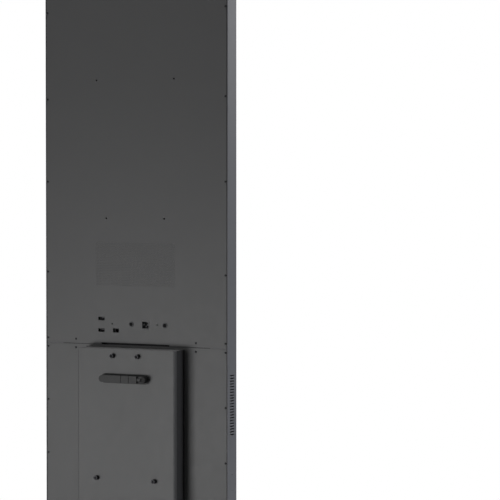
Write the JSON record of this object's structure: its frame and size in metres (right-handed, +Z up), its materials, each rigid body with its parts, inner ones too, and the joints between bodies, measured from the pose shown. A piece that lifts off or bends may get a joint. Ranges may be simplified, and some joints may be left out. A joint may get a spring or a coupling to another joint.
{
  "type": "phone charging kiosk",
  "caption": "Slim floor-standing kiosk: portrait display over a phone charging shelf, rear stand box with a lift-and-turn handle, rear ports and controls, flat base plate.",
  "frame": {"origin": "on the floor, in the middle of the base plate's footprint", "axes": "+Z up; the screen faces -Y, the rear covers and stand box face +Y, +X is to the right of a user facing the screen"},
  "size_m": [0.6, 0.42, 1.8],
  "materials": {
    "rear_paint": "satin powder coat",
    "frame_paint": "satin powder coat",
    "base_paint": "satin powder coat",
    "handle_metal": "fine textured coat",
    "black_plastic": "moulded, lightly textured",
    "black_steel": "black oxide",
    "control_ring": "dark anodised",
    "cover_glass": "polished, black border printed behind",
    "screen": "anti-glare film",
    "acrylic": "clear moulded",
    "zinc_sheet": "zinc plated",
    "steel": "mill finish",
    "aluminium": "extruded",
    "rubber": "moulded",
    "board": "solder mask",
    "led_lens": "clear tinted"
  },
  "bodies": {
    "root": {"rear_cover_upper": "rear_paint", "rear_cover_lower": "rear_paint", "stand_box_top": "rear_paint", "stand_box_cover": "rear_paint", "side_frame_left": "frame_paint", "side_frame_right": "frame_paint", "top_frame": "frame_paint", "bottom_frame": "frame_paint", "charging_shelf": "frame_paint", "front_lower_panel": "frame_paint", "base_plate": "base_paint", "stand_box_side_left": "base_paint", "stand_box_side_right": "base_paint", "handle_escutcheon": "handle_metal", "charging_fascia": "black_plastic", "charge_socket_strip": "black_plastic", "speaker_left": "black_plastic", "speaker_right": "black_plastic", "fan_frame_left": "black_plastic", "fan_frame_right": "black_plastic", "power_inlet": "black_plastic", "cover_bolt_upper_left": "black_steel", "cover_bolt_upper_right": "black_steel", "cover_bolt_lower_left": "black_steel", "cover_bolt_lower_right": "black_steel", "mid_crossbar": "black_steel", "key_switch_body": "control_ring", "power_button_housing": "control_ring", "front_glass": "cover_glass", "lcd_panel": "screen", "light_guide_plate": "acrylic", "backlight_tray": "zinc_sheet", "power_supply_case": "zinc_sheet", "bolt_plate": "zinc_sheet", "usb_socket_upper": "steel", "usb_socket_lower": "steel", "network_socket": "steel", "upright_post_left": "steel", "upright_post_right": "steel", "cabinet_spacer": "steel", "base_flange": "steel", "heat_sink": "aluminium", "shelf_mat": "rubber", "base_foot_front_left": "rubber", "base_foot_front_right": "rubber", "base_foot_rear_left": "rubber", "base_foot_rear_right": "rubber", "charger_board": "board", "power_supply_board": "board", "media_board": "board", "status_led": "led_lens"},
    "power_button": {"power_button_cap": "black_steel"},
    "reset_button": {"reset_button": "black_plastic"},
    "key_core": {"key_cylinder": "black_steel"},
    "handle_hub": {"handle_hub": "handle_metal", "lever_pin": "steel", "latch_cam": "zinc_sheet"},
    "handle_lever": {"handle_lever": "handle_metal"},
    "fan_left": {"fan_rotor_left": "black_plastic"},
    "fan_right": {"fan_rotor_right": "black_plastic"}
  },
  "joints": [
    {"name": "power_button_press", "type": "slide", "parent": "root", "child": "power_button", "axis": [0, -1, 0], "range_m": [0, 0.0025], "stiffness_N_per_m": 400},
    {"name": "reset_press", "type": "slide", "parent": "root", "child": "reset_button", "axis": [0, -1, 0], "range_m": [0, 0.001], "stiffness_N_per_m": 300},
    {"name": "key_turn", "type": "hinge", "parent": "root", "child": "key_core", "pos_m": [0.0123, -0.01, 0.832], "axis": [0, 1, 0], "range_deg": [0, 90]},
    {"name": "handle_turn", "type": "hinge", "parent": "root", "child": "handle_hub", "pos_m": [-0.06625, 0.0578, 0.682], "axis": [0, 1, 0], "range_deg": [0, 90]},
    {"name": "handle_lift", "type": "hinge", "parent": "handle_hub", "child": "handle_lever", "pos_m": [-0.0566, 0.0578, 0.682], "axis": [0, 0, 1], "range_deg": [0, 30]},
    {"name": "fan_left_spin", "type": "hinge", "parent": "root", "child": "fan_left", "pos_m": [-0.2916, -0.029, 0.61585], "axis": [1, 0, 0], "continuous": true},
    {"name": "fan_right_spin", "type": "hinge", "parent": "root", "child": "fan_right", "pos_m": [0.2916, -0.029, 0.61585], "axis": [1, 0, 0], "continuous": true}
  ]
}
